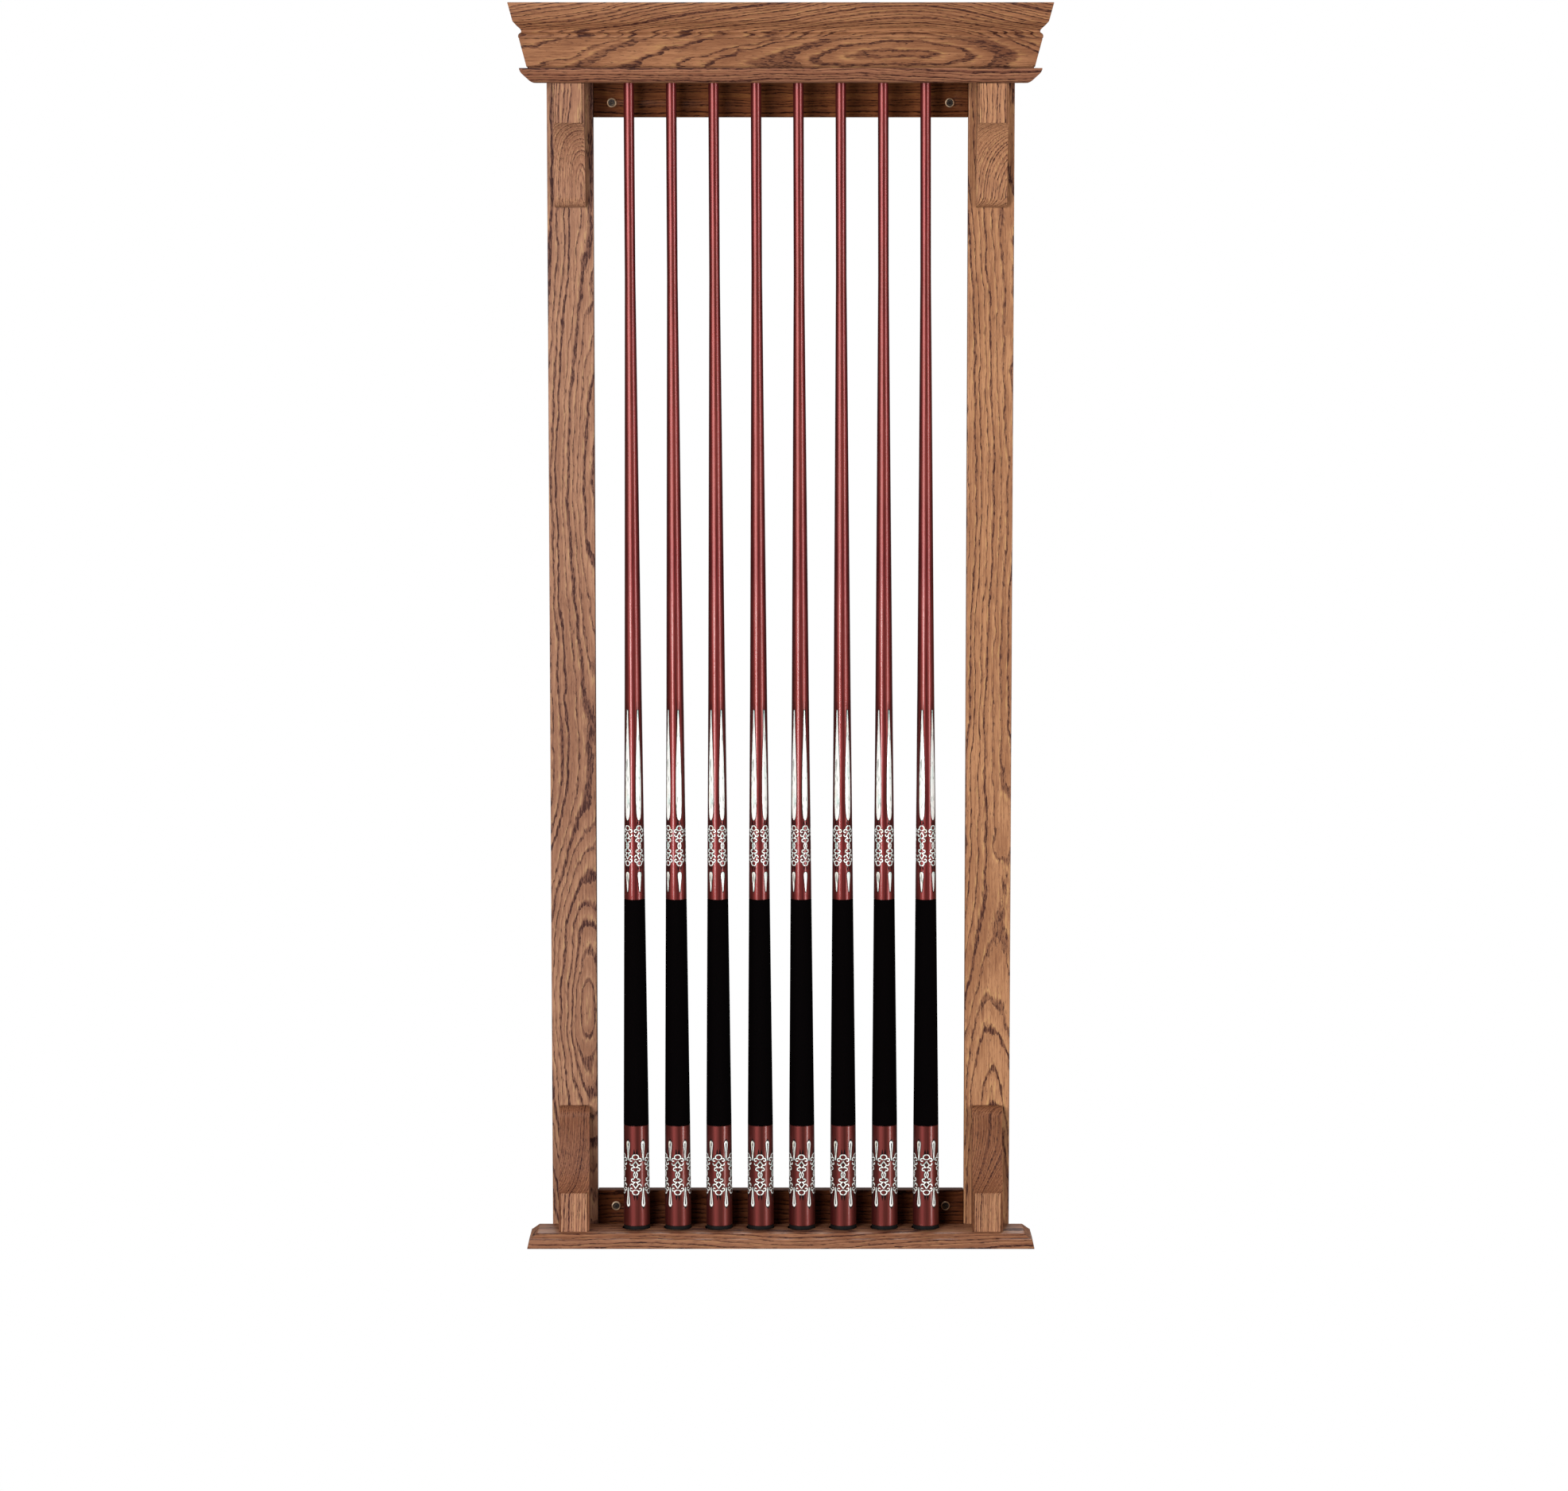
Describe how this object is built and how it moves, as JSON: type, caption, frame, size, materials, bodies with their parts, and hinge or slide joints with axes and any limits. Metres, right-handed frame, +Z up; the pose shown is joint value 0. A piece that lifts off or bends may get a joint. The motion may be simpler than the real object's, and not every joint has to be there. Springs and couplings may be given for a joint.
{
  "type": "wall cue rack",
  "caption": "Wall-hung oak cue rack: framed back, moulded crown and shelf, corbels, and lift-out pool cues standing in shallow recesses.",
  "frame": {"origin": "back face of the upper rail, on the wall plane, midway between the two upper wall screws", "axes": "+Z up, +Y into the wall so the rack faces -Y, +X to the viewer's right when facing the rack"},
  "size_m": [0.663, 0.1287, 1.5455],
  "materials": {
    "oak": "medium brown stained oak, satin lacquer, dark open grain",
    "maroon_lacquer": "maroon stained maple under clear gloss lacquer, with white inlays",
    "linen_wrap": "black linen wrap, matt",
    "rubber": "black rubber bumper, matt",
    "ferrule": "ivory coloured ferrule under a leather tip",
    "brass": "brass screw cup, slightly dulled",
    "screw_steel": "dark bronzed steel screw"
  },
  "bodies": {
    "rack": {"left_post": "oak", "right_post": "oak", "upper_rail": "oak", "lower_rail": "oak", "base_shelf": "oak", "tip_board": "oak", "crown_front": "oak", "crown_left_return": "oak", "crown_right_return": "oak", "left_glue_block": "oak", "right_glue_block": "oak", "upper_left_corbel": "oak", "upper_right_corbel": "oak", "lower_left_corbel": "oak", "lower_right_corbel": "oak", "upper_left_screw": "screw_steel", "upper_right_screw": "screw_steel", "lower_left_screw": "screw_steel", "lower_right_screw": "screw_steel", "upper_left_cup": "brass", "upper_right_cup": "brass", "lower_left_cup": "brass", "lower_right_cup": "brass"},
    "cue_1": {"cue_1_stick": "maroon_lacquer", "cue_1_wrap": "linen_wrap", "cue_1_bumper": "rubber", "cue_1_tip": "ferrule"},
    "cue_2": {"cue_2_stick": "maroon_lacquer", "cue_2_wrap": "linen_wrap", "cue_2_bumper": "rubber", "cue_2_tip": "ferrule"},
    "cue_3": {"cue_3_stick": "maroon_lacquer", "cue_3_wrap": "linen_wrap", "cue_3_bumper": "rubber", "cue_3_tip": "ferrule"},
    "cue_4": {"cue_4_stick": "maroon_lacquer", "cue_4_wrap": "linen_wrap", "cue_4_bumper": "rubber", "cue_4_tip": "ferrule"},
    "cue_5": {"cue_5_stick": "maroon_lacquer", "cue_5_wrap": "linen_wrap", "cue_5_bumper": "rubber", "cue_5_tip": "ferrule"},
    "cue_6": {"cue_6_stick": "maroon_lacquer", "cue_6_wrap": "linen_wrap", "cue_6_bumper": "rubber", "cue_6_tip": "ferrule"},
    "cue_7": {"cue_7_stick": "maroon_lacquer", "cue_7_wrap": "linen_wrap", "cue_7_bumper": "rubber", "cue_7_tip": "ferrule"},
    "cue_8": {"cue_8_stick": "maroon_lacquer", "cue_8_wrap": "linen_wrap", "cue_8_bumper": "rubber", "cue_8_tip": "ferrule"}
  },
  "joints": [
    {"name": "cue_1_lift", "type": "slide", "parent": "rack", "child": "cue_1", "axis": [-0.0036, 0, 1], "range_m": [0, 0.04]},
    {"name": "cue_2_lift", "type": "slide", "parent": "rack", "child": "cue_2", "axis": [-0.0036, 0, 1], "range_m": [0, 0.04]},
    {"name": "cue_3_lift", "type": "slide", "parent": "rack", "child": "cue_3", "axis": [-0.0036, 0, 1], "range_m": [0, 0.04]},
    {"name": "cue_4_lift", "type": "slide", "parent": "rack", "child": "cue_4", "axis": [-0.0036, 0, 1], "range_m": [0, 0.04]},
    {"name": "cue_5_lift", "type": "slide", "parent": "rack", "child": "cue_5", "axis": [-0.0036, 0, 1], "range_m": [0, 0.04]},
    {"name": "cue_6_lift", "type": "slide", "parent": "rack", "child": "cue_6", "axis": [-0.0036, 0, 1], "range_m": [0, 0.04]},
    {"name": "cue_7_lift", "type": "slide", "parent": "rack", "child": "cue_7", "axis": [-0.0036, 0, 1], "range_m": [0, 0.04]},
    {"name": "cue_8_lift", "type": "slide", "parent": "rack", "child": "cue_8", "axis": [-0.0036, 0, 1], "range_m": [0, 0.04]}
  ]
}
